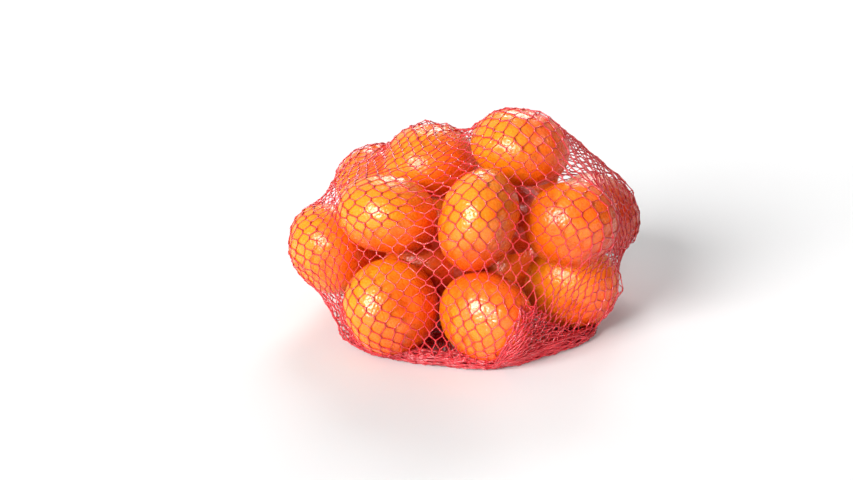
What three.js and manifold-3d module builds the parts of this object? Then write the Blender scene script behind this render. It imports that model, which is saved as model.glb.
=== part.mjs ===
// A net of mandarins, lying on its side: seventeen fruit in a tight tube of open diamond plastic mesh.
// The solid is the heap as it shows through the mesh. The fruit are fused at their true size to a wrap
// that sags deep into the gaps between them and runs out over the loose folds of the net on the floor.
// Millimetres, +Z up. The origin is on the floor under the middle of the heap.

import * as THREE from 'three';
import { mergeVertices } from 'three/addons/utils/BufferGeometryUtils.js';
import Module from 'manifold-3d';

// The mandarins, each by its middle, its width, its height from stem to blossom end, and the lean of
// its core from upright, in degrees, towards a heading that turns from +X to +Y.
const MANDARINS = [
  // Standing on the floor.
  { middle: [9, -65, 29], width: 57, height: 46, lean: 70, heading: 60 },
  { middle: [-46, -49, 29], width: 57, height: 47, lean: 70, heading: -60 },
  { middle: [62, -12, 28], width: 57, height: 47, lean: 70, heading: 90 },
  { middle: [-57, 49, 24], width: 57, height: 45, lean: 10, heading: 90 },
  { middle: [27, 38, 25], width: 57, height: 46, lean: 15, heading: 200 },
  // Held up between them.
  { middle: [-83, 4, 45], width: 58, height: 47, lean: 65, heading: 30 },
  { middle: [-23, 1, 34], width: 58, height: 47, lean: 50, heading: 90 },
  { middle: [58.5, -38.5, 76], width: 54, height: 46, lean: 71, heading: 90 },
  { middle: [83, 59, 49], width: 56, height: 46, lean: 40, heading: 0 },
  { middle: [-12, 61, 46], width: 46, height: 40, lean: 15, heading: 319 },
  { middle: [22, 3, 66], width: 54, height: 45, lean: 11, heading: 75 },
  // Lying on top.
  { middle: [-48, -27, 78], width: 60, height: 46, lean: 20, heading: 60 },
  { middle: [4.5, -52, 83.5], width: 61, height: 45, lean: 75, heading: 170 },
  { middle: [30, -7, 113], width: 59, height: 45, lean: 15, heading: 20 },
  { middle: [-24, 22, 95], width: 57, height: 46, lean: 8, heading: 180 },
  { middle: [-55, 61, 69], width: 56, height: 46, lean: 10, heading: 180 },
  { middle: [29, 58, 73], width: 57, height: 47, lean: 30, heading: 90 },
];

// A mandarin is dimpled at both ends of its core.
const DIMPLE_DEPTH = 2.5;
const DIMPLE_RADIUS = 8;
const MANDARIN_DETAIL = 4;

// The wrap lies under the skin of the fruit, so that they stand out of it. Net that comes lower than
// its own thickness lies on the floor and stays there.
const WRAP_INSET = 14;
const NET_THICKNESS = 1;

// The edge of the net on the floor is a ring of low mounds: loose folds along the front, and the net
// under the mandarins that stand at the back.
const FOLD_PLACES = [
  [-67, -26], [-60, -40], [-48, -50], [-33, -58], [-16, -62], [0, -66], [12, -68], [26, -61], [41, -48],
  [54, -34], [64, -22], [64, -8], [33, 40], [20, 42], [-52, 52], [-62, 46],
];
const FOLD_RADIUS = 10;
const FOLD_HEIGHT = 8;

// Between the top mandarin and the one at the far right the taut net stands clear of the fruit. There
// it lies over a row of balls along a line.
const SHOULDER_START = new THREE.Vector3(42, 4, 101);
const SHOULDER_END = new THREE.Vector3(78, 52, 56);
const SHOULDER_RADIUS = 23;
const SHOULDER_BALLS = 5;

// The wrap starts as a convex hull seen from the heap's middle, then sags into the gaps by small steps.
const HEAP_MIDDLE = new THREE.Vector3(0, -5, 58);
const WRAP_DETAIL = 14;
const HULL_DETAIL = 15;
const SAG_STEPS = 200;
const SAG_RATE = 0.5;
const GRAZING = 0.05;

const UP = new THREE.Vector3(0, 0, 1);
const DOWN = new THREE.Vector3(0, 0, -1);

const manifold = await Module();
manifold.setup();

// A ball of radius 1 with its corners shared between faces.
function unitBall(detail) {
  const ball = new THREE.IcosahedronGeometry(1, detail);
  ball.deleteAttribute('normal');
  ball.deleteAttribute('uv');
  return mergeVertices(ball);
}

function corners(geometry) {
  const position = geometry.attributes.position;
  return Array.from({ length: position.count },
    (_, i) => new THREE.Vector3().fromBufferAttribute(position, i));
}

function moveCorners(geometry, points) {
  points.forEach((point, i) => geometry.attributes.position.setXYZ(i, point.x, point.y, point.z));
  return geometry;
}

// The direction of a mandarin's core.
function coreDirection({ lean, heading }) {
  const tilt = THREE.MathUtils.degToRad(lean);
  const turn = THREE.MathUtils.degToRad(heading);
  return new THREE.Vector3(
    Math.sin(tilt) * Math.cos(turn), Math.sin(tilt) * Math.sin(turn), Math.cos(tilt));
}

// One mandarin: a ball flattened along its core, with a dimple at either end.
function mandarinGeometry(mandarin) {
  const { middle, width, height } = mandarin;
  const ball = unitBall(MANDARIN_DETAIL);
  const points = corners(ball).map(({ x, y, z }) => {
    const across = Math.hypot(x, y) * width / 2;
    const dimple = DIMPLE_DEPTH * Math.exp(-((across / DIMPLE_RADIUS) ** 2));
    return new THREE.Vector3(x * width / 2, y * width / 2, z * height / 2 - Math.sign(z) * dimple);
  });
  const turn = new THREE.Quaternion().setFromUnitVectors(UP, coreDirection(mandarin));
  return moveCorners(ball, points).applyQuaternion(turn).translate(...middle);
}

// What the wrap lies on: each mandarin, smaller by the inset, the mounds of folds and the shoulder.
function netSupports() {
  const fruit = MANDARINS.map((mandarin) => ({
    middle: new THREE.Vector3(...mandarin.middle),
    core: coreDirection(mandarin),
    radius: mandarin.width / 2 - WRAP_INSET,
    halfHeight: mandarin.height / 2 - WRAP_INSET,
  }));
  const mounds = FOLD_PLACES.map(([x, y]) => ({
    middle: new THREE.Vector3(x, y, FOLD_HEIGHT / 2),
    core: UP,
    radius: FOLD_RADIUS,
    halfHeight: FOLD_HEIGHT / 2,
  }));
  const shoulder = Array.from({ length: SHOULDER_BALLS }, (_, i) => ({
    middle: SHOULDER_START.clone().lerp(SHOULDER_END, i / (SHOULDER_BALLS - 1)),
    core: UP,
    radius: SHOULDER_RADIUS,
    halfHeight: SHOULDER_RADIUS,
  }));
  return [...fruit, ...mounds, ...shoulder];
}

// How far a support reaches along a unit direction, from the origin.
function supportReach(support, direction) {
  const along = direction.dot(support.core);
  const across2 = 1 - along * along;
  const own = Math.sqrt(support.radius ** 2 * across2 + (support.halfHeight * along) ** 2);
  return direction.dot(support.middle) + own;
}

// The planes that touch the heap from outside, the floor among them.
function touchingPlanes(supports) {
  const planes = corners(unitBall(HULL_DETAIL)).map((direction) => {
    const reaches = supports.map((support) => supportReach(support, direction));
    return { direction, reach: Math.max(...reaches) };
  });
  planes.push({ direction: DOWN, reach: 0 });
  return planes;
}

// The hull's point on the ray from the heap's middle along a direction.
function hullPoint(direction, planes) {
  let nearest = Infinity;
  for (const plane of planes) {
    const facing = direction.dot(plane.direction);
    if (facing > GRAZING) {
      const depth = plane.reach - HEAP_MIDDLE.dot(plane.direction);
      nearest = Math.min(nearest, depth / facing);
    }
  }
  return HEAP_MIDDLE.clone().addScaledVector(direction, nearest);
}

// Which corners each corner of a mesh is joined to by an edge.
function joinedCorners(geometry) {
  const joined = Array.from({ length: geometry.attributes.position.count }, () => new Set());
  const index = geometry.index.array;
  for (let i = 0; i < index.length; i += 3) {
    for (let k = 0; k < 3; k += 1) {
      const from = index[i + k];
      const to = index[i + (k + 1) % 3];
      joined[from].add(to);
      joined[to].add(from);
    }
  }
  return joined.map((set) => [...set]);
}

// Moves a point that is inside a support out to its surface.
function pushOut(point, support) {
  const offset = point.clone().sub(support.middle);
  const along = offset.dot(support.core);
  const across2 = offset.lengthSq() - along * along;
  const depth = Math.sqrt(across2 / support.radius ** 2 + (along / support.halfHeight) ** 2);
  if (depth < 1) {
    point.copy(support.middle).addScaledVector(offset, 1 / depth);
  }
}

// One step of the sag: every corner is drawn towards the middle of its neighbours.
function sagStep(points, joined, supports) {
  return points.map((point, i) => {
    const middle = new THREE.Vector3();
    joined[i].forEach((k) => middle.add(points[k]));
    middle.divideScalar(joined[i].length);
    const moved = point.clone().lerp(middle, SAG_RATE);
    supports.forEach((support) => pushOut(moved, support));
    moved.z = point.z === 0 || moved.z < NET_THICKNESS ? 0 : moved.z;
    return moved;
  });
}

// The net's wrap as a closed body.
function wrapGeometry() {
  const supports = netSupports();
  const planes = touchingPlanes(supports);
  const ball = unitBall(WRAP_DETAIL);
  const joined = joinedCorners(ball);
  let points = corners(ball).map((direction) => hullPoint(direction, planes));
  for (let step = 0; step < SAG_STEPS; step += 1) {
    points = sagStep(points, joined, supports);
  }
  return moveCorners(ball, points);
}

function solidFrom(geometry) {
  return new manifold.Manifold(new manifold.Mesh({
    numProp: 3,
    vertProperties: new Float32Array(geometry.attributes.position.array),
    triVerts: new Uint32Array(geometry.index.array),
  }));
}

function geometryFrom(solid) {
  const mesh = solid.getMesh();
  const geometry = new THREE.BufferGeometry();
  geometry.setAttribute('position', new THREE.BufferAttribute(mesh.vertProperties, 3));
  geometry.setIndex(new THREE.BufferAttribute(mesh.triVerts, 1));
  geometry.computeVertexNormals();
  return geometry;
}

const peelThroughNet = new THREE.MeshStandardMaterial({
  color: 0xf0661e, roughness: 0.45, metalness: 0,
});

const heap = MANDARINS
  .map((mandarin) => solidFrom(mandarinGeometry(mandarin)))
  .reduce((joined, mandarin) => joined.add(mandarin), solidFrom(wrapGeometry()));

const net = new THREE.Mesh(geometryFrom(heap), peelThroughNet);
net.name = 'net_of_mandarins';

const part = new THREE.Group();
part.add(net);

export default part;
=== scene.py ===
import math

import bpy
import numpy as np
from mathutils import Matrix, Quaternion, Vector
from mathutils.bvhtree import BVHTree


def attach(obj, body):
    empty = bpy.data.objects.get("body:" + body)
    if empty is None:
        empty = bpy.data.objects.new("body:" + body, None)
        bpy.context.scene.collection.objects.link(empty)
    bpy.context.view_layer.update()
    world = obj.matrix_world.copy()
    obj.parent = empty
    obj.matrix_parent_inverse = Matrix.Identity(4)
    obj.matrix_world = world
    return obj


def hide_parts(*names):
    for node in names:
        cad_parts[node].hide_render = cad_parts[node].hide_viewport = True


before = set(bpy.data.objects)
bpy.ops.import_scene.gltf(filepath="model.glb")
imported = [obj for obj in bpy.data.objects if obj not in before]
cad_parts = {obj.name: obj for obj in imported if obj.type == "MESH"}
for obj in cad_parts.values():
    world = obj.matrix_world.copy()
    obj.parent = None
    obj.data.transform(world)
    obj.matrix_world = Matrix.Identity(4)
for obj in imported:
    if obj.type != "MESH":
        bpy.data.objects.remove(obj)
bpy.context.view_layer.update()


# The mandarins: seventeen small flattened citrus fruit, heaped as they rolled together in the net.
# Each has a dimple at the stem end with furrows round it and a shallower one at the blossom end.
# The peel is uneven, waxy and pebbled with oil glands, and ripens from yellow orange to red orange; painted
# shade reddens and darkens each fruit's right and lower side and the fruit deep in the heap.
MM = 0.001
MANDARINS = (
    # Name, middle, width, height, lean of the core from upright, heading of the lean, ripeness, which is set
    # redder and darker for the fruit deep in the heap as painted shade of the gaps.
    ("mandarin_low_middle", (9, -65, 29), 57, 46, 70, 60, 0.58),
    ("mandarin_low_left", (-46, -49, 29), 57, 47, 110, 120, 0.30),
    ("mandarin_low_right", (62, -12, 28), 57, 47, 70, 90, 0.50),
    ("mandarin_back_low_left", (-57, 49, 24), 57, 45, 10, 90, 0.50),
    ("mandarin_back_low", (27, 38, 25), 57, 46, 15, 200, 0.95),
    ("mandarin_far_left", (-83, 4, 45), 58, 47, 65, 30, 0.20),
    ("mandarin_inner", (-23, 1, 34), 58, 47, 50, 90, 0.95),
    ("mandarin_middle_right", (58.5, -38.5, 76), 54, 46, 71, 90, 0.68),
    ("mandarin_far_right", (83, 59, 49), 56, 46, 40, 0, 0.80),
    ("mandarin_middle_left", (-48, -27, 78), 60, 46, 20, 60, 0.48),
    ("mandarin_middle", (4.5, -52, 83.5), 61, 45, 75, 170, 0.54),
    ("mandarin_top", (30, -7, 113), 59, 45, 165, 200, 0.42),
    ("mandarin_top_left", (-24, 22, 95), 57, 46, 172, 0, 0.32),
    ("mandarin_back_left", (-55, 61, 69), 56, 46, 10, 180, 0.55),
    ("mandarin_back", (29, 58, 73), 57, 47, 30, 90, 0.45),
    ("mandarin_inner_back", (-12, 61, 46), 46, 40, 15, 319, 0.60),
    ("mandarin_inner_right", (22, 3, 66), 54, 45, 11, 75, 0.95),
)
USUAL_WIDTH = 57 * MM
USUAL_HEIGHT = 46 * MM
SEGMENTS = 64
RINGS = 32
POLE = 0.05 * MM
STEM_SWELL = 1.2 * MM
STEM_SWELL_SPREAD = 17 * MM
STEM_DIMPLE = 3.8 * MM
STEM_DIMPLE_SPREAD = 8.5 * MM
BLOSSOM_DIMPLE = 2.4 * MM
BLOSSOM_DIMPLE_SPREAD = 8 * MM
FURROWS = 11
FURROW_START = 3 * MM
FURROW_END = 11 * MM
FURROW_HALF_TURN = 2.2
FURROW_DEPTH = 0.55 * MM
FURROW_SPREAD = 3.5 * MM
PEEL_RELIEF = (
    # Name, size, finer layers, depth.
    ("uneven_growth", 26 * MM, 1, 2.2 * MM),
    ("peel_lumps", 7 * MM, 1, 0.32 * MM),
    ("peel_pebbles", 2.2 * MM, 0, 0.16 * MM),
)
UP = Vector((0, 0, 1))


def pick(piece, test):
    """Selects the corners of a piece that pass a test, and leaves the piece in edit mode."""
    bpy.ops.object.mode_set(mode="EDIT")
    bpy.ops.mesh.select_mode(type="VERT")
    bpy.ops.mesh.select_all(action="DESELECT")
    bpy.ops.object.mode_set(mode="OBJECT")
    for corner in piece.data.vertices:
        corner.select = test(corner.co)
    bpy.ops.object.mode_set(mode="EDIT")


def draw_pole(rise, spread):
    """Moves the selected pole up or down, and draws the peel round it along in a soft falloff."""
    bpy.ops.transform.translate(
        value=(0, 0, rise), use_proportional_edit=True, proportional_edit_falloff="SMOOTH",
        proportional_size=spread)


def in_furrow(co):
    """Whether a corner lies in one of the furrows that run out from the stem end."""
    away = math.hypot(co.x, co.y)
    step = 360 / FURROWS
    turn = math.degrees(math.atan2(co.y, co.x)) % step
    return co.z > 0 and FURROW_START < away < FURROW_END and min(turn, step - turn) < FURROW_HALF_TURN


def alone(piece):
    """Makes a piece the only one that is selected."""
    bpy.ops.object.select_all(action="DESELECT")
    piece.select_set(True)
    bpy.context.view_layer.objects.active = piece


def core_of(lean, heading):
    """The direction of a mandarin's core, towards its stem end."""
    tilt, turn = math.radians(lean), math.radians(heading)
    return Vector((math.sin(tilt) * math.cos(turn), math.sin(tilt) * math.sin(turn), math.cos(tilt)))


bpy.ops.object.select_all(action="DESELECT")
bpy.ops.mesh.primitive_uv_sphere_add(segments=SEGMENTS, ring_count=RINGS, radius=0.5)
pattern_mandarin = bpy.context.object
bpy.ops.object.mode_set(mode="EDIT")
bpy.ops.mesh.select_all(action="SELECT")
bpy.ops.transform.resize(value=(USUAL_WIDTH, USUAL_WIDTH, USUAL_HEIGHT))
stem_z = USUAL_HEIGHT / 2
pick(pattern_mandarin, lambda co: co.z > stem_z - POLE)
draw_pole(STEM_SWELL, STEM_SWELL_SPREAD)
draw_pole(-STEM_DIMPLE, STEM_DIMPLE_SPREAD)
pick(pattern_mandarin, lambda co: co.z < -stem_z + POLE)
draw_pole(BLOSSOM_DIMPLE, BLOSSOM_DIMPLE_SPREAD)
pick(pattern_mandarin, in_furrow)
bpy.ops.transform.shrink_fatten(
    value=-FURROW_DEPTH, use_proportional_edit=True, proportional_edit_falloff="SMOOTH",
    proportional_size=FURROW_SPREAD)
bpy.ops.object.mode_set(mode="OBJECT")
bpy.ops.object.shade_smooth()

reliefs = []
for name, size, finer_layers, depth in PEEL_RELIEF:
    texture = bpy.data.textures.new(name, "CLOUDS")
    texture.noise_scale = size
    texture.noise_depth = finer_layers
    reliefs.append((texture, depth))


def wired(tree, kind, **sockets):
    """A new node of a kind, with its input sockets set to values or joined to other nodes' outputs."""
    made = tree.nodes.new("ShaderNode" + kind)
    for name, value in sockets.items():
        numbered = name.startswith("_")
        place = made.inputs[int(name[1:]) if numbered else name.replace("_", " ")]
        if isinstance(value, bpy.types.NodeSocket):
            tree.links.new(value, place)
        else:
            place.default_value = value
    return made


def maths(tree, operation, first, second):
    """What a sum of two values or outputs gives."""
    made = wired(tree, "Math", _0=first, _1=second)
    made.operation = operation
    return made.outputs[0]


def swayed(tree, tone, pattern, amount):
    """A tone that follows the ups and downs of a pattern by an amount."""
    sway = maths(tree, "MULTIPLY", maths(tree, "SUBTRACT", pattern, 0.5), amount)
    return maths(tree, "ADD", tone, sway)


def ramp(tree, factor, *stops):
    """A colour ramp of (position, colour) stops."""
    made = wired(tree, "ValToRGB", Fac=factor)
    elements = made.color_ramp.elements
    while len(elements) < len(stops):
        elements.new(0.5)
    for element, (position, colour) in zip(elements, stops):
        element.position = position
        element.color = (*colour, 1)
    return made.outputs["Color"]


YELLOW_ORANGE = (0.940, 0.270, 0.005)
ORANGE = (0.920, 0.158, 0.005)
RED_ORANGE = (0.740, 0.052, 0.005)
BLOTCHES_PER_METRE = 48.0
SPECKLES_PER_METRE = 520.0
GLANDS_PER_METRE = 560.0
BLOTCH_SWAY = 0.9
SPECKLE_SWAY = 0.12
PIT_SWAY = -0.10
PIT_RELIEF = 0.75
SPECKLE_RELIEF = 0.5
PORE_DEPTH = 0.45 * MM
SMOOTHEST_WAX = 0.20
DULLEST_WAX = 0.36

peel = bpy.data.materials.new("mandarin_peel")
peel.use_nodes = True
tree = peel.node_tree
where = wired(tree, "TexCoord").outputs["Object"]
ripeness = wired(tree, "Attribute")
ripeness.attribute_name = "ripeness"
blotches = wired(
    tree, "TexNoise", Vector=where, Scale=BLOTCHES_PER_METRE, Detail=3.0, Roughness=0.55).outputs["Fac"]
speckle = wired(
    tree, "TexNoise", Vector=where, Scale=SPECKLES_PER_METRE, Detail=2.0, Roughness=0.6).outputs["Fac"]
glands = wired(tree, "TexVoronoi", Vector=where, Scale=GLANDS_PER_METRE, Randomness=0.9)
glands.feature = "SMOOTH_F1"
pits = wired(tree, "MapRange", Value=glands.outputs["Distance"], From_Min=0.05, From_Max=0.55).outputs[0]
# The tone starts from each mandarin's ripeness together with its painted shade.
tone = swayed(tree, ripeness.outputs["Fac"], blotches, BLOTCH_SWAY)
tone = swayed(tree, tone, speckle, SPECKLE_SWAY)
tone = swayed(tree, tone, pits, PIT_SWAY)
peel_colour = ramp(tree, tone, (0.0, YELLOW_ORANGE), (0.45, ORANGE), (1.0, RED_ORANGE))
wax = wired(
    tree, "MapRange", Value=speckle, From_Min=0.3, From_Max=0.7, To_Min=SMOOTHEST_WAX, To_Max=DULLEST_WAX)
pitted = maths(tree, "MULTIPLY", pits, PIT_RELIEF)
speckled = maths(tree, "MULTIPLY", speckle, SPECKLE_RELIEF)
pores = wired(
    tree, "Bump", Strength=0.6, Distance=PORE_DEPTH, Height=maths(tree, "ADD", pitted, speckled))
peel_shader = tree.nodes["Principled BSDF"]
tree.links.new(peel_colour, peel_shader.inputs["Base Color"])
tree.links.new(wax.outputs[0], peel_shader.inputs["Roughness"])
tree.links.new(pores.outputs["Normal"], peel_shader.inputs["Normal"])
peel_shader.inputs["IOR"].default_value = 1.58
peel_shader.inputs["Subsurface Weight"].default_value = 0.12
peel_shader.inputs["Subsurface Radius"].default_value = (1.0, 0.3, 0.1)
peel_shader.inputs["Subsurface Scale"].default_value = 2.5 * MM

# Each mandarin is painted redder and darker on one side, to the right and low in the heap away from the key
# light, give or take a stray: painted shade, not ripeness.
PAINTED_SHADE = 0.5
PAINTED_SHADE_SIDE = np.array((0.85, 0.25, -0.45))
PAINTED_SHADE_STRAY = 0.3
turns = np.random.default_rng(15).uniform(0, 2 * math.pi, len(MANDARINS))
painted_shade_sides = PAINTED_SHADE_SIDE + np.random.default_rng(4).normal(0, PAINTED_SHADE_STRAY, (len(MANDARINS), 3))
peel_trees = []
for (name, middle, width, height, lean, heading, ripe), turn, painted_shade_side in zip(MANDARINS, turns, painted_shade_sides):
    alone(pattern_mandarin)
    bpy.ops.object.duplicate()
    mandarin = bpy.context.object
    mandarin.name = mandarin.data.name = name
    mandarin.scale = (width * MM / USUAL_WIDTH, width * MM / USUAL_WIDTH, height * MM / USUAL_HEIGHT)
    mandarin.rotation_mode = "QUATERNION"
    mandarin.rotation_quaternion = UP.rotation_difference(core_of(lean, heading)) @ Quaternion(UP, turn)
    mandarin.location = Vector(middle) * MM
    bpy.ops.object.transform_apply(location=True, rotation=True, scale=True)
    finer = mandarin.modifiers.new("finer", "SUBSURF")
    finer.levels = finer.render_levels = 1
    bpy.ops.object.modifier_apply(modifier=finer.name)
    for texture, depth in reliefs:
        swell = mandarin.modifiers.new(texture.name, "DISPLACE")
        swell.texture = texture
        swell.texture_coords = "GLOBAL"
        swell.strength = depth
        swell.mid_level = 0.5
        bpy.ops.object.modifier_apply(modifier=swell.name)
    shade = mandarin.data.attributes.new("ripeness", "FLOAT", "POINT")
    corners = np.array([corner.co for corner in mandarin.data.vertices]) / MM
    # The painted shade is added to the ripeness on the side away from the key light.
    shade.data.foreach_set("value", ripe + PAINTED_SHADE * (corners - middle) @ painted_shade_side / (width / 2))
    mandarin.data.materials.append(peel)
    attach(mandarin, "root")
    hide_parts("net_of_mandarins")
    peel_trees.append(BVHTree.FromPolygons(
        [corner.co / MM for corner in mandarin.data.vertices],
        [face.vertices for face in mandarin.data.polygons]))
bpy.data.objects.remove(pattern_mandarin)


# The stem buttons: the dry brown-green star of five sepals that each mandarin keeps in its stem dimple,
# with the snapped stub of the stem in its middle. One is modelled and copied to every mandarin.
SEPALS = 5
BUTTON_RADIUS = 2.7
BUTTON_THICK = 0.5
BUTTON_NOTCH = 0.6
BUTTON_EDGE = 0.15
BUTTON_SINK = 0.25
STUB_SHARE = 0.42
STUB_HEIGHT = 0.8
STUB_TAPER = 0.8
DRY_GREEN = (0.055, 0.050, 0.014)
DRY_BROWN = (0.21, 0.15, 0.055)
WRINKLES_PER_METRE = 900.0
WRINKLE_DEPTH = 0.2 * MM


def between_sepals(co):
    """Whether a corner of the button lies in a notch: every other corner does."""
    return round(math.degrees(math.atan2(co.y, co.x)) / (180 / SEPALS)) % 2 == 0


bpy.ops.object.select_all(action="DESELECT")
bpy.ops.mesh.primitive_circle_add(vertices=2 * SEPALS, radius=BUTTON_RADIUS * MM, fill_type="NGON")
pattern_button = bpy.context.object
pick(pattern_button, between_sepals)
bpy.ops.transform.resize(value=(BUTTON_NOTCH, BUTTON_NOTCH, 1))
bpy.ops.mesh.select_all(action="SELECT")
bpy.ops.mesh.extrude_region_move(TRANSFORM_OT_translate={"value": (0, 0, BUTTON_THICK * MM)})
bpy.ops.mesh.inset(thickness=BUTTON_RADIUS * STUB_SHARE * MM)
bpy.ops.mesh.extrude_region_move(TRANSFORM_OT_translate={"value": (0, 0, STUB_HEIGHT * MM)})
bpy.ops.transform.resize(value=(STUB_TAPER, STUB_TAPER, 1))
bpy.ops.mesh.select_all(action="SELECT")
bpy.ops.mesh.normals_make_consistent(inside=False)
bpy.ops.object.mode_set(mode="OBJECT")
soft_edge = pattern_button.modifiers.new("soft_edge", "BEVEL")
soft_edge.width = BUTTON_EDGE * MM
soft_edge.segments = 2
bpy.ops.object.modifier_apply(modifier=soft_edge.name)

button_brown = bpy.data.materials.new("stem_button")
button_brown.use_nodes = True
tree = button_brown.node_tree
where = wired(tree, "TexCoord").outputs["Object"]
withered = wired(tree, "TexNoise", Vector=where, Scale=WRINKLES_PER_METRE, Detail=3.0).outputs["Fac"]
wrinkles = wired(tree, "Bump", Strength=0.5, Distance=WRINKLE_DEPTH, Height=withered)
button_shader = tree.nodes["Principled BSDF"]
tree.links.new(ramp(tree, withered, (0.35, DRY_GREEN), (0.65, DRY_BROWN)), button_shader.inputs["Base Color"])
tree.links.new(wrinkles.outputs["Normal"], button_shader.inputs["Normal"])
button_shader.inputs["Roughness"].default_value = 0.75

buttons = []
for (_, middle, _, height, lean, heading, _), turn, peel_tree in zip(MANDARINS, turns, peel_trees):
    core = core_of(lean, heading)
    seat = peel_tree.ray_cast(Vector(middle) + core * height, -core)[0]
    alone(pattern_button)
    bpy.ops.object.duplicate()
    button = bpy.context.object
    button.rotation_mode = "QUATERNION"
    button.rotation_quaternion = UP.rotation_difference(core) @ Quaternion(UP, turn)
    button.location = (seat - core * BUTTON_SINK) * MM
    bpy.ops.object.transform_apply(location=True, rotation=True, scale=True)
    buttons.append(button)
bpy.data.objects.remove(pattern_button)
for button in buttons:
    button.select_set(True)
bpy.ops.object.join()
stem_buttons = bpy.context.object
stem_buttons.name = stem_buttons.data.name = "stem_buttons"
stem_buttons.data.materials.append(button_brown)
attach(stem_buttons, "root")
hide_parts("net_of_mandarins")


# The net: a tube of pink-red plastic mesh, its strands fused in knots to diamonds. It is tied under the
# heap and at the back, and pulled tight over the fruit, so it bridges the gaps between them.
# It is relaxed here as springs between knots that slide on the fruit, the floor and the folds below.
COLUMNS = 58
ROWS = 54
SLACK_SPAN = 6.2
STRAND = 0.37
LOWER_TIE = np.array((-11.0, -24.0, 1.0))
BACK_TIE = np.array((3.0, 86.0, 66.0))
TIE_RING = 5.0
FLOOR_CLEAR = 0.65
FRUIT_MARGIN = 3
TINY = 1e-6
# The taut net stands clear of the fruit between the top one and the one at the far right: the start and
# the end of a line there, and how far the net keeps from it.
SHOULDER = (np.array((40.0, 4.0, 101.0)), np.array((80.0, 55.0, 54.0)), 25.0)
# On the floor it lies in folds out to this outline. Their edge is rounded at the top, net below their
# foot lies flat, and net deeper in than their depth hangs free.
FOLD_LINE = np.array((
    (-78, -25), (-72, -42), (-56, -58), (-35, -67), (-10, -73), (12, -78), (30, -70), (50, -53), (74, -26),
    (60, 30), (0, 50), (-70, 40)), float)
FOLD_HEIGHT = 9.0
FOLD_ROUNDING = 3.0
FOLD_FOOT = 2.5
FOLD_DEPTH = 12.0
FLAT_NET = 1.0
# In front of this line, net on the floor is kept in from the outline by the inset.
FRONT_HEM = -20.0
HEM_INSET = 1.0

fold_runs = np.roll(FOLD_LINE, -1, axis=0) - FOLD_LINE
fold_normals = np.stack([fold_runs[:, 1], -fold_runs[:, 0]], axis=1)
fold_normals /= np.linalg.norm(fold_normals, axis=1)[:, None]
fold_offsets = np.einsum("ij,ij->i", fold_normals, FOLD_LINE)


def fruit_shape(width, height, lean, heading):
    """The matrix that makes a mandarin, grown by half a strand, a ball of radius 1."""
    core = np.array(core_of(lean, heading))
    along = np.outer(core, core)
    return (np.eye(3) - along) / (width / 2 + STRAND) + along / (height / 2 + STRAND)


fruit_shapes = [
    (np.array(middle, float), fruit_shape(width, height, lean, heading), width / 2 + FRUIT_MARGIN)
    for _, middle, width, height, lean, heading, _ in MANDARINS]


def clear_of_fruit(points):
    for middle, shape, reach in fruit_shapes:
        offset = points - middle
        near = np.nonzero(np.einsum("ij,ij->i", offset, offset) < reach ** 2)[0]
        depth = np.linalg.norm(offset[near] @ shape, axis=1)
        inside = depth < 1
        points[near[inside]] = middle + offset[near[inside]] / np.maximum(depth[inside], TINY)[:, None]


def clear_of_shoulder(points):
    start, end, radius = SHOULDER
    run = end - start
    share = np.clip((points - start) @ run / (run @ run), 0, 1)
    offset = points - (start + share[:, None] * run)
    away = np.linalg.norm(offset, axis=1)
    inside = away < radius
    points[inside] += offset[inside] * (radius / np.maximum(away[inside], TINY) - 1)[:, None]


def past_outline(points):
    """The nearest side of the folds' outline, and how far points lie past it."""
    beyond = points[:, :2] @ fold_normals.T - fold_offsets
    return beyond.argmax(axis=1), beyond.max(axis=1)


def clear_of_folds(points):
    low = np.nonzero((points[:, 2] > FLAT_NET) & (points[:, 2] < FOLD_HEIGHT))[0]
    height = points[low, 2]
    side, depth = past_outline(points[low])
    rounding = np.maximum(height - (FOLD_HEIGHT - FOLD_ROUNDING), 0)
    out = (depth + rounding < 0) & (depth > -FOLD_DEPTH) & (height > FOLD_FOOT)
    points[low[out], :2] -= fold_normals[side[out]] * (depth + rounding)[out][:, None]
    under = (depth < 0) & (height <= FOLD_FOOT)
    points[low[under], 2] = FLOOR_CLEAR
    hem = np.nonzero((points[:, 2] <= FOLD_FOOT) & (points[:, 1] < FRONT_HEM))[0]
    side, depth = past_outline(points[hem])
    stray = np.maximum(depth + HEM_INSET, 0)
    points[hem, :2] -= fold_normals[side] * stray[:, None]


def clear_of_floor(points):
    np.maximum(points[:, 2], FLOOR_CLEAR, out=points[:, 2])


def laid_clear(knots):
    """A net's knots, moved clear of all that they lie on."""
    points = knots.reshape(-1, 3)
    clear_of_fruit(points)
    clear_of_shoulder(points)
    clear_of_folds(points)
    clear_of_floor(points)
    return points.reshape(knots.shape)


def knot_angles(columns, rows):
    """The angles of the knots round a tube, in which every other row is half a step on."""
    row = np.arange(rows + 1)[:, None]
    return 2 * math.pi * (np.arange(columns) + 0.5 * (row % 2)) / columns


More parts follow.
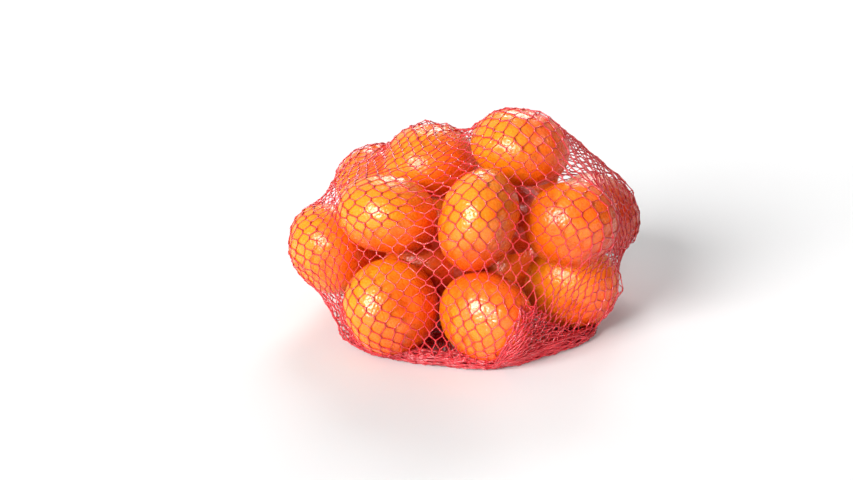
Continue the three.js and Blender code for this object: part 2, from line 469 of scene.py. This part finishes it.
# The tube starts as an egg that is much larger than the heap and leaves a small gap at either tie.
OVERSIZE = np.array((150.0, 130.0, 110.0))
HEAP_MIDDLE = np.array((0.0, -5.0, 55.0))
TWIST = math.radians(-40)
TIE_GAP = 0.03
axis = (BACK_TIE - LOWER_TIE) / np.linalg.norm(BACK_TIE - LOWER_TIE)
across = np.cross(axis, (0, 0, 1))
across /= np.linalg.norm(across)
over = np.cross(across, axis)
row = np.arange(ROWS + 1)
share = row / ROWS
swing = math.pi * (TIE_GAP + (1 - 2 * TIE_GAP) * share)[:, None, None]
turn = knot_angles(COLUMNS, ROWS) + TWIST * (share[:, None] - 0.5)
ring = np.cos(turn)[..., None] * across + np.sin(turn)[..., None] * over
knots = HEAP_MIDDLE + OVERSIZE * (np.sin(swing) * ring - np.cos(swing) * axis)
clear_of_floor(knots.reshape(-1, 3))
lower_ring = LOWER_TIE + TIE_RING * ring[0]
clear_of_floor(lower_ring)
back_ring = BACK_TIE + TIE_RING * ring[-1]


def odd_rows(count):
    return (np.arange(count) % 2 == 1)[:, None, None]


def next_knots(knots, leaning_right):
    """The knot that each knot's strand runs to in the next row, for either set of strands."""
    onward = knots[1:]
    odd = odd_rows(len(onward))
    if leaning_right:
        return np.where(odd, np.roll(onward, -1, axis=1), onward)
    return np.where(odd, onward, np.roll(onward, 1, axis=1))


def handed_on(given, leaning_right):
    """What each knot gets along its strand from the knot in the row before, for either set."""
    odd = odd_rows(len(given))
    if leaning_right:
        return np.where(odd, np.roll(given, 1, axis=1), given)
    return np.where(odd, given, np.roll(given, -1, axis=1))


# The springs draw it in, while its ends are drawn to the ties. Knots side by side keep apart, but not in
# the last rows before a tie, where the tube is gathered.
SETTLING = 800
DRAWING_IN = 0.4
SPRING = 0.22
SLACK_SPRING = 0.25
MOMENTUM = 0.9
LEAST_WIDTH = 4.5
SPREADING = 0.08
GATHERED_ROWS = 6
before = knots.copy()
free = np.clip(np.minimum(row, ROWS - row) / GATHERED_ROWS - 0.5, 0, 1)[:, None, None]
for step in range(SETTLING):
    pulls = np.zeros_like(knots)
    for leaning_right in (True, False):
        span = next_knots(knots, leaning_right) - knots[:-1]
        length = np.linalg.norm(span, axis=2, keepdims=True)
        stretch = length - SLACK_SPAN
        stiffness = SPRING * np.where(stretch > 0, 1, SLACK_SPRING)
        pull = stiffness * stretch / np.maximum(length, TINY) * span
        pulls[:-1] += pull
        pulls[1:] -= handed_on(pull, leaning_right)
    apart = np.roll(knots, -1, axis=1) - knots
    width = np.linalg.norm(apart, axis=2, keepdims=True)
    push = SPREADING * free * np.maximum(LEAST_WIDTH - width, 0) / np.maximum(width, TINY) * apart
    pulls += np.roll(push, 1, axis=1) - push
    moved = knots + MOMENTUM * (knots - before) + pulls
    drawn_in = min(1.0, step / (SETTLING * DRAWING_IN))
    lower_end = (1 - drawn_in) * moved[0] + drawn_in * lower_ring
    back_end = (1 - drawn_in) * moved[-1] + drawn_in * back_ring
    before = knots
    knots = laid_clear(moved)
    knots[0], knots[-1] = lower_end, back_end

# No knot is quite where even springs would have it.
KNOT_STRAY = 0.5
knots = laid_clear(knots + np.random.default_rng(21).normal(0, KNOT_STRAY, knots.shape))
knots[0], knots[-1] = lower_ring, back_ring

# A strand point this near a mandarin, as a share of its radius, is checked against the real peel. One
# that nearly touches clings to it, pressed in by a little of the strand's width.
NEAR_PEEL = 1.06
TOUCHING_PEEL = 1.01
CLINGING = 0.9
PRESSED = 0.9


def laid_on_peel(points, widths):
    """Lifts points of a strand that are sunk in the real, uneven peel until they rest on it."""
    rest = STRAND * widths * PRESSED
    for (middle, shape, _), peel_tree in zip(fruit_shapes, peel_trees):
        offset = points - middle
        depth = np.linalg.norm(offset @ shape, axis=1)
        for i in np.nonzero(depth < NEAR_PEEL)[0]:
            spot, normal, _, _ = peel_tree.find_nearest(Vector(points[i]))
            lift = (Vector(points[i]) - spot).dot(normal)
            if lift < rest[i] or lift < rest[i] + CLINGING and depth[i] < TOUCHING_PEEL:
                points[i] = spot + normal * rest[i]
    clear_of_floor(points)


# Strands are drawn to an uneven width, and swell at the knots.
KNOT_SWELL = 1.4
KNOT_HALF = 0.95
SPAN_PARTS = np.array(((0.0, KNOT_SWELL), (0.16, 1.0), (0.84, 1.0), (1.0, KNOT_SWELL)))
UNEVEN_DRAWING = (0.82, 1.18)
drawing = np.random.default_rng(5)


def knot_run(knots):
    """Half of each knot: two strands lie together along the tube for its short length."""
    run = np.zeros_like(knots)
    for leaning_right in (True, False):
        run[:-1] += next_knots(knots, leaning_right)
        run[-1] += knots[-1]
        run[1:] -= handed_on(knots[:-1], leaning_right)
        run[0] -= knots[0]
    return run * KNOT_HALF / np.maximum(np.linalg.norm(run, axis=2, keepdims=True), TINY)


def strand_columns(first_column, leaning_right, rows, columns):
    """The column of the knot that one strand has in each row."""
    column = first_column
    track = [column]
    for step in range(rows):
        if step % 2 == 1 and leaning_right:
            column += 1
        if step % 2 == 0 and not leaning_right:
            column -= 1
        track.append(column % columns)
    return track


def strand_paths(knots, leaning_right, thickness):
    """The strands of one set, each as the points along it and its widths there."""
    rows, columns = len(knots) - 1, knots.shape[1]
    every_row = np.arange(rows + 1)
    half_knots = knot_run(knots)
    part = SPAN_PARTS[:, 0, None]
    paths = []
    for column in range(columns):
        track = strand_columns(column, leaning_right, rows, columns)
        path, half = knots[every_row, track], half_knots[every_row, track]
        starts, ends = (path + half)[:-1, None], (path - half)[1:, None]
        points = (starts * (1 - part) + ends * part).reshape(-1, 3)
        widths = (thickness * drawing.uniform(*UNEVEN_DRAWING, (rows, 1)) * SPAN_PARTS[:, 1]).ravel()
        paths.append((points, widths))
    return paths


STRAND_RED = (0.64, 0.022, 0.036)
STRAND_PINK = (0.84, 0.064, 0.080)
THIN_STRETCHES_PER_METRE = 160.0
FIBRES_PER_METRE = 2600.0
FIBRE_DEPTH = 0.12 * MM

strand_plastic = bpy.data.materials.new("net_strand")
strand_plastic.use_nodes = True
tree = strand_plastic.node_tree
where = wired(tree, "TexCoord").outputs["Object"]
drawn_thin = wired(
    tree, "TexNoise", Vector=where, Scale=THIN_STRETCHES_PER_METRE, Detail=3.0, Roughness=0.6).outputs["Fac"]
strand_colour = ramp(tree, drawn_thin, (0.3, STRAND_RED), (0.7, STRAND_PINK))
fibres = wired(tree, "TexNoise", Vector=where, Scale=FIBRES_PER_METRE, Detail=1.0).outputs["Fac"]
fibrous = wired(tree, "Bump", Strength=0.35, Distance=FIBRE_DEPTH, Height=fibres)
strand_shader = tree.nodes["Principled BSDF"]
tree.links.new(strand_colour, strand_shader.inputs["Base Color"])
tree.links.new(fibrous.outputs["Normal"], strand_shader.inputs["Normal"])
strand_shader.inputs["Roughness"].default_value = 0.24
strand_shader.inputs["IOR"].default_value = 1.7
strand_shader.inputs["Alpha"].default_value = 0.72
strand_shader.inputs["Subsurface Weight"].default_value = 0.5
strand_shader.inputs["Subsurface Radius"].default_value = (1.0, 0.35, 0.35)
strand_shader.inputs["Subsurface Scale"].default_value = 0.8 * MM
MERGED = 0.001 * MM


def net_piece(name, paths):
    """A piece of the net: round plastic strands along paths of points and widths, as one mesh."""
    lines = bpy.data.curves.new(name, "CURVE")
    lines.dimensions = "3D"
    lines.bevel_depth = STRAND * MM
    lines.bevel_resolution = 1
    lines.use_fill_caps = True
    for points, widths in paths:
        line = lines.splines.new("POLY")
        line.points.add(len(points) - 1)
        line.points.foreach_set("co", np.column_stack([points * MM, np.ones(len(points))]).ravel())
        line.points.foreach_set("radius", widths)
        line.use_smooth = True
    piece = bpy.data.objects.new(name, lines)
    bpy.context.collection.objects.link(piece)
    alone(piece)
    bpy.ops.object.convert(target="MESH")
    piece = bpy.context.object
    bpy.ops.object.mode_set(mode="EDIT")
    bpy.ops.mesh.select_all(action="SELECT")
    bpy.ops.mesh.remove_doubles(threshold=MERGED)
    bpy.ops.mesh.normals_make_consistent(inside=False)
    bpy.ops.object.mode_set(mode="OBJECT")
    bpy.ops.object.shade_smooth()
    piece.data.materials.append(strand_plastic)
    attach(piece, "root")
    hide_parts("net_of_mandarins")


# Past a tie, each strand ends in a neck that is crowded into the tie, and a short loose tail.
UP_INTO_HEAP = np.array((0.0, 0.0, 1.0))
HANGING_BACK = np.array((0.05, 0.45, -0.6))
NECK = 4
NECK_CROWDING = (0.05, 0.8)
TAIL = 12.0
TAIL_SHARES = (0.5, 1.0)
TAIL_STRAY = 0.22
TAIL_BEND = 0.8
TAIL_WIDTH = 0.9
loose_ends = np.random.default_rng(7)


def loose_end(tie, outward, start):
    """The end of a strand past its tie: into the tie, then out as a short loose tail."""
    stray = loose_ends.normal(0, 1, 3)
    neck = tie + outward * NECK + (start - tie) * math.sqrt(loose_ends.uniform(*NECK_CROWDING))
    tail = neck + (outward + stray * TAIL_STRAY) * TAIL * loose_ends.uniform(*TAIL_SHARES)
    return [neck, (neck + tail) / 2 + stray * TAIL_BEND, tail]


# The thick strands, which lean one way, lie over the thin ones, which lean the other way.
THICK_SET = 1.1
THIN_SET = 0.85
for name, leaning_right, thickness in (
        ("net_strands_over", True, THICK_SET), ("net_strands_under", False, THIN_SET)):
    tied_paths = []
    for points, widths in strand_paths(knots, leaning_right, thickness):
        laid_on_peel(points, widths)
        lower_tail = loose_end(LOWER_TIE, UP_INTO_HEAP, points[0])[::-1]
        back_tail = loose_end(BACK_TIE, HANGING_BACK, points[-1])
        tail_widths = [TAIL_WIDTH] * len(back_tail)
        tied_paths.append((
            np.concatenate([lower_tail, points, back_tail]),
            np.concatenate([tail_widths, widths, tail_widths])))
    net_piece(name, tied_paths)


# The ties: four windings of the same plastic strand round the gathered tube, under the heap and at the
# back. They are wound close round the necks of the strands, whose loose tails stand out past them.
TIES = (("net_tie_lower", LOWER_TIE, UP_INTO_HEAP), ("net_tie_back", BACK_TIE, HANGING_BACK))
WINDINGS = 4
WINDING_STEPS = 24
WINDING_RADIUS = 5.2
WINDING_START = 1.5
WINDING_RISE = 0.9
WINDING_WIDTH = 1.3

around = np.linspace(0, 2 * math.pi * WINDINGS, WINDING_STEPS * WINDINGS + 1)[:, None]
for name, tie, outward in TIES:
    outward = outward / np.linalg.norm(outward)
    first = np.cross(outward, (1.0, 0.0, 0.0))
    first /= np.linalg.norm(first)
    second = np.cross(outward, first)
    winding = tie + outward * (WINDING_START + WINDING_RISE * around / (2 * math.pi))
    winding = winding + WINDING_RADIUS * (np.cos(around) * first + np.sin(around) * second)
    clear_of_floor(winding)
    net_piece(name, [(winding, np.full(len(winding), WINDING_WIDTH))])


# The floor rolls: slack net of the same strands, gathered in loose rolls along the front edge on the
# floor, to the left and to the right of the gather in the middle.
ROLLS = (
    # Name, columns, rows, stations of x, y, z, half width and half height.
    ("net_roll_left", 34, 27, (
        (-40, -12, 3, 3, 1.5), (-62, -22, 4, 4, 3), (-68, -38, 5, 5.5, 4), (-54, -53, 5, 6, 4.2),
        (-35, -63, 4.2, 5, 3.4), (-10, -70, 4.2, 5, 3.4), (8, -75, 4.6, 4.5, 3.6), (18, -74, 4, 3, 3))),
    ("net_roll_right", 24, 24, (
        (2, -70, 4, 3, 2), (12, -73, 4, 3.5, 3), (28, -67, 4.5, 4, 3.8), (46, -53, 5, 4.5, 4.2),
        (60, -42, 5, 4.5, 4), (72, -30, 4, 3.5, 3), (76, -12, 2.5, 2.5, 1.5), (58, 8, 2.5, 2.5, 1.5))),
)
ROLL_SMOOTHINGS = 3
ROLL_CREASE = 0.4
creases = np.random.default_rng(11)


def slack_net(name, gathered, crease):
    """A piece of slack net from a grid of knots that are creased and laid on the fruit and the floor."""
    creased = gathered + creases.normal(0, crease, gathered.shape)
    clear_of_fruit(creased.reshape(-1, 3))
    clear_of_floor(creased.reshape(-1, 3))
    paths = []
    for leaning_right, thickness in ((True, THICK_SET), (False, THIN_SET)):
        for points, widths in strand_paths(creased, leaning_right, thickness):
            laid_on_peel(points, widths)
            paths.append((points, widths))
    net_piece(name, paths)


for name, columns, rows, stations in ROLLS:
    stations = np.array(stations, float)
    steps = np.linalg.norm(np.diff(stations[:, :3], axis=0), axis=1)
    along = np.concatenate([[0], np.cumsum(steps)])
    row_places = along[-1] * np.arange(rows + 1) / rows
    line = np.stack([np.interp(row_places, along, values) for values in stations.T], axis=1)
    for _ in range(ROLL_SMOOTHINGS):
        line[1:-1] = (line[:-2] + 2 * line[1:-1] + line[2:]) / 4
    half_width, half_height = line[:, 3, None], line[:, 4, None]
    side = np.cross(np.gradient(line[:, :3], axis=0), (0, 0, 1))
    side /= np.linalg.norm(side, axis=1)[:, None]
    fold = knot_angles(columns, rows)
    roll = line[:, None, :3] + (np.cos(fold) * half_width)[..., None] * side[:, None]
    roll[..., 2] += np.sin(fold) * half_height
    slack_net(name, roll, ROLL_CREASE)


# The fan: folds of the net that are pulled straight from the gather on the floor up over the side of
# one mandarin and over to the next. It lies double on the tight net, laid on it from the front.
GATHER = np.array((12.0, -77.0, 3.0))
FAN_EDGE = np.array(((31, -52, 40), (40, -45, 29), (48, -40, 19), (60, -38, 8), (72, -28, 3)), float)
FAN_COLUMNS = 22
FAN_ROWS = 8
FAN_START = 0.04
FAN_SHORTEST = 0.75
FAN_TUCK = 1
TUCK_DEPTH = 4.0
FAN_LAYER = 0.5
FAN_CREASE = 0.15
FRONT = Vector((0.0, -0.94, 0.34))
FRONT_AWAY = 100.0

cells = []
for here in range(0, ROWS * COLUMNS, COLUMNS):
    onward = here + COLUMNS
    for column in range(COLUMNS):
        beside = (column + 1) % COLUMNS
        cells.append((here + column, here + beside, onward + beside, onward + column))
net_tree = BVHTree.FromPolygons([Vector(knot) for knot in knots.reshape(-1, 3)], cells)

every_row = np.arange(FAN_ROWS + FAN_TUCK + 1)[:, None]
fold = knot_angles(FAN_COLUMNS, FAN_ROWS + FAN_TUCK)
along_edge = np.arccos(np.cos(fold)) / math.pi * (len(FAN_EDGE) - 1)
edge = np.stack([np.interp(along_edge, np.arange(len(FAN_EDGE)), values) for values in FAN_EDGE.T], axis=-1)
reach = np.minimum(FAN_START + (1 - FAN_START) * every_row / FAN_ROWS, 1)
reach = reach * creases.uniform(FAN_SHORTEST, 1, FAN_COLUMNS)
fan = GATHER + (edge - GATHER) * reach[..., None]
tuck = TUCK_DEPTH * np.maximum(every_row - FAN_ROWS, 0)
for knot in np.ndindex(fan.shape[:2]):
    touch, normal, _, _ = net_tree.ray_cast(Vector(fan[knot]) + FRONT * FRONT_AWAY, -FRONT)
    if touch is None:
        continue
    outward = np.array(normal) * np.sign(normal.dot(FRONT))
    layer = 2 * STRAND + FAN_LAYER * (1 + math.sin(fold[knot]))
    fan[knot] = np.array(touch) + outward * (layer - tuck[knot[0], 0])
slack_net("net_fan", fan, FAN_CREASE)


# The floor, the light and the camera: a white floor under a pale sky, soft light from the front left and
# from behind, and two small lamps for the fan and the shoulder, seen from the front and a little above.
FLOOR_SIZE = 14
FLOOR_WHITE = (0.82, 0.82, 0.82, 1)
SKY_WHITE = (1, 1, 1, 1)

bpy.ops.object.select_all(action="DESELECT")
bpy.ops.mesh.primitive_plane_add(size=FLOOR_SIZE)
floor = bpy.context.object
floor.name = "floor"
floor_white = bpy.data.materials.new("floor_white")
floor_white.use_nodes = True
floor_shader = floor_white.node_tree.nodes["Principled BSDF"]
floor_shader.inputs["Base Color"].default_value = FLOOR_WHITE
floor_shader.inputs["Roughness"].default_value = 0.9
floor.data.materials.append(floor_white)

world = bpy.data.worlds.new("studio")
bpy.context.scene.world = world
world.use_nodes = True
tree = world.node_tree
sky = wired(tree, "SeparateXYZ", Vector=wired(tree, "TexCoord").outputs["Generated"])


def sky_light(axis, start, end, start_strength, end_strength):
    """Light of the sky that grows or fades along an axis."""
    return wired(
        tree, "MapRange", Value=sky.outputs[axis], From_Min=start, From_Max=end, To_Min=start_strength,
        To_Max=end_strength).outputs[0]


backdrop = sky_light("Y", 0.3, 1.0, 0.04, 0.8)
window = sky_light("X", -1.0, 0.0, 0.2, 0.0)
ceiling = sky_light("Z", 0.3, 1.0, 0.0, 0.3)
sky_strength = maths(tree, "ADD", maths(tree, "ADD", backdrop, window), ceiling)
tree.links.new(sky_strength, tree.nodes["Background"].inputs["Strength"])
tree.nodes["Background"].inputs["Color"].default_value = SKY_WHITE

SPOT_AWAY = 0.6
SPOT_WIDTH = math.radians(9)
SPOT_SIZE = 0.05


def lamp_from(way, name, kind, strength):
    """A lamp of a kind that shines from a way off the heap."""
    lamp = bpy.data.lights.new(name, kind)
    lamp.energy = strength
    shone = bpy.data.objects.new(name, lamp)
    bpy.context.collection.objects.link(shone)
    shone.rotation_mode = "QUATERNION"
    shone.rotation_quaternion = UP.rotation_difference(way)
    return shone


def sun(name, strength, softness, heading, height):
    """A soft lamp that shines from a heading, in degrees from the camera's side, and a height."""
    turn, rise = math.radians(heading), math.radians(height)
    way = Vector((math.sin(turn) * math.cos(rise), -math.cos(turn) * math.cos(rise), math.sin(rise)))
    lamp_from(way, name, "SUN", strength).data.angle = math.radians(softness)


def small_lamp(name, strength, target, way):
    """A small soft lamp that shines on a target, in millimetres, from a way off it."""
    way = Vector(way).normalized()
    shone = lamp_from(way, name, "SPOT", strength)
    shone.location = Vector(target) * MM + way * SPOT_AWAY
    shone.data.spot_size = SPOT_WIDTH
    shone.data.spot_blend = 1
    shone.data.shadow_soft_size = SPOT_SIZE


sun("key", 4.7, 30, -39, 26)
sun("back", 1.45, 24, 176, 33)
small_lamp("kicker", 26, (52, -38, 2), (-0.1, -0.97, 0.2))
small_lamp("shoulder", 14, (66, 20, 98), (0.66, -0.24, 0.71))

bpy.context.scene.view_settings.view_transform = "Standard"
bpy.context.scene.view_settings.look = "None"

CAMERA_TARGET = Vector((-25.5, -7, 55)) * MM
CAMERA_RISE = math.radians(20)
CAMERA_DISTANCE = 1.15
FOCAL_PIXELS = 1917
FRAME_PIXELS = 853
SENSOR_WIDTH = 36
NEAREST_SEEN = 0.05
lens = bpy.data.cameras.new("camera")
lens.sensor_width = SENSOR_WIDTH
lens.lens = SENSOR_WIDTH * FOCAL_PIXELS / FRAME_PIXELS
lens.clip_start = NEAREST_SEEN
camera = bpy.data.objects.new("camera", lens)
bpy.context.collection.objects.link(camera)
camera.location = CAMERA_TARGET + CAMERA_DISTANCE * Vector((0, -math.cos(CAMERA_RISE), math.sin(CAMERA_RISE)))
camera.rotation_euler = (math.pi / 2 - CAMERA_RISE, 0, 0)
bpy.context.scene.camera = camera
